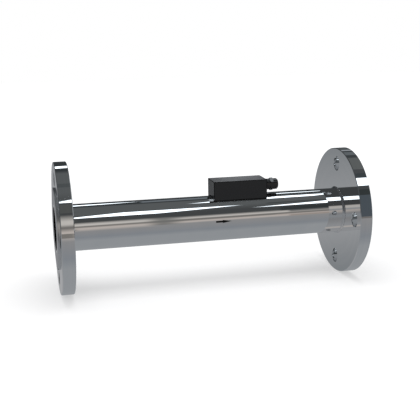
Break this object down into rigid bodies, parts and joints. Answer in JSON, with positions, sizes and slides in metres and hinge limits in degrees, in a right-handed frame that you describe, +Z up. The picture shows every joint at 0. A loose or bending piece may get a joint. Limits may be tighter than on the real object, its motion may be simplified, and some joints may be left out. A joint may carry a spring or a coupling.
{
  "type": "orifice plate flow meter",
  "caption": "Flanged measuring tube with an orifice plate inside, a small black sensor housing that straddles the tube, and a round connector.",
  "frame": {"origin": "on the pipe axis, half-way between the two flange faces", "axes": "+X along the pipe in the direction of flow, +Z up towards the housing"},
  "size_m": [0.388, 0.165, 0.165],
  "materials": {
    "tube_steel": "stainless steel tube, polished to a mirror",
    "flange_steel": "turned stainless steel, polished, with fine turning marks on the faces",
    "weld_steel": "stainless steel weld, polished over",
    "plate_steel": "turned stainless steel, satin",
    "saddle_steel": "milled stainless steel, satin",
    "screw_steel": "stainless steel screw",
    "seal_rubber": "black sealing rubber",
    "sensor_body": "milled aluminium sensor body",
    "gold_contacts": "gold-plated contact",
    "board_laminate": "green glass-fibre laminate with solder mask",
    "component_plastic": "moulded black component package",
    "brass_spacer": "turned brass spacer",
    "black_housing": "black anodised aluminium, satin",
    "black_connector": "black-plated metal, semi-gloss",
    "insert_plastic": "moulded black contact carrier",
    "nut_metal": "nickel-plated nut"
  },
  "bodies": {
    "root": {"measuring_tube": "tube_steel", "inlet_flange": "flange_steel", "outlet_flange": "flange_steel", "inlet_weld": "weld_steel", "outlet_weld": "weld_steel", "orifice_plate": "plate_steel", "plate_retaining_rings": "plate_steel", "plate_seal": "seal_rubber", "tap_seals": "seal_rubber", "probe_seal": "seal_rubber", "sensor_port_seals": "seal_rubber", "connector_seal": "seal_rubber", "housing_gasket": "seal_rubber", "mounting_saddle": "saddle_steel", "saddle_plug_welds": "weld_steel", "pressure_sensor": "sensor_body", "temperature_probe": "plate_steel", "sensor_screws": "screw_steel", "board_screws": "screw_steel", "cover_screws": "screw_steel", "sensor_pins": "gold_contacts", "probe_leads": "gold_contacts", "connector_pins": "gold_contacts", "circuit_board": "board_laminate", "board_components": "component_plastic", "board_spacers": "brass_spacer", "housing_cover": "black_housing", "connector_shell": "black_connector", "connector_insert": "insert_plastic", "connector_nut": "nut_metal"}
  },
  "joints": []
}
